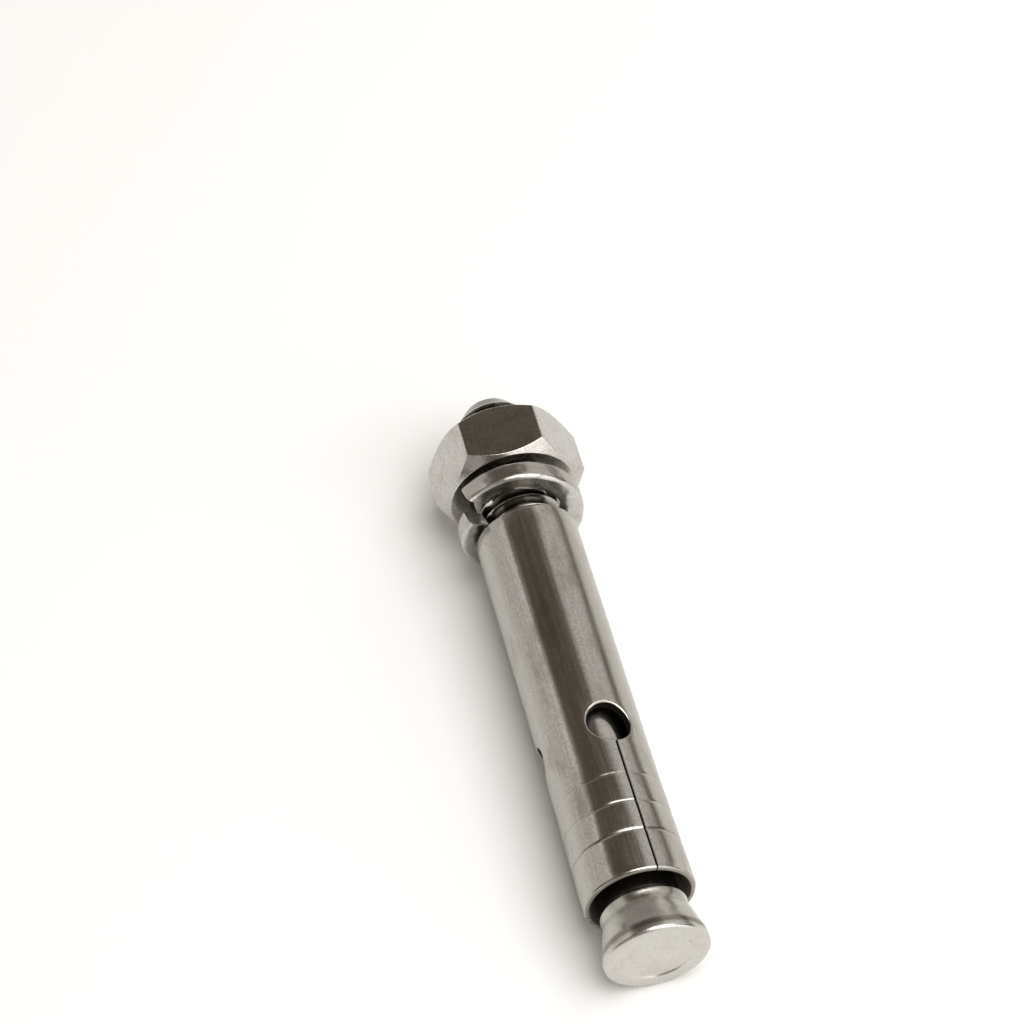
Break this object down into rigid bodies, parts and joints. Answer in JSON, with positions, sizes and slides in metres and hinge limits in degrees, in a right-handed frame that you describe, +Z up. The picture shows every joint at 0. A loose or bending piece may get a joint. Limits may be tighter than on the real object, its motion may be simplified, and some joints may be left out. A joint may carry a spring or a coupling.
{
  "type": "sleeve expansion anchor",
  "caption": "Stainless sleeve anchor lying down: a cone-ended stud in a slotted expansion sleeve, with a split lock washer and a hexagon nut.",
  "frame": {"origin": "bottom centre of the bounding box of the anchor as it lies on a floor", "axes": "+Z up; the stud's axis runs along +Y from the cone to the nut and rises by 1.61 degrees, because the nut is larger than the sleeve; +X is across the anchor"},
  "size_m": [0.015, 0.0642, 0.0132],
  "materials": {
    "stud_steel": "bright cold-formed stainless steel, lightly drawn",
    "sleeve_steel": "rolled and tumbled stainless steel with fine drawing marks along it",
    "washer_steel": "bright stainless spring wire",
    "nut_steel": "cold-formed stainless steel, satin flats"
  },
  "bodies": {
    "stud": {"cone_bolt": "stud_steel"},
    "expansion_sleeve": {"sleeve": "sleeve_steel"},
    "washer": {"lock_washer": "washer_steel"},
    "hex_nut": {"nut": "nut_steel"}
  },
  "joints": [
    {"name": "sleeve_slide", "type": "slide", "parent": "stud", "child": "expansion_sleeve", "axis": [0, 0.9996, 0.0281], "range_m": [-0.0033, 0.0001]},
    {"name": "washer_travel", "type": "slide", "parent": "stud", "child": "washer", "axis": [0, 0.9996, 0.0281], "range_m": [-0.00021, 0.00375]},
    {"name": "nut_turn", "type": "hinge", "parent": "washer", "child": "hex_nut", "pos_m": [0, 0.02449, 0.00658], "axis": [0, 0.9996, 0.0281], "range_deg": [-60, 1080]}
  ],
  "couplings": [
    {"joint": "washer_travel", "follows": "nut_turn", "m_per_rad": 0.00019894}
  ]
}
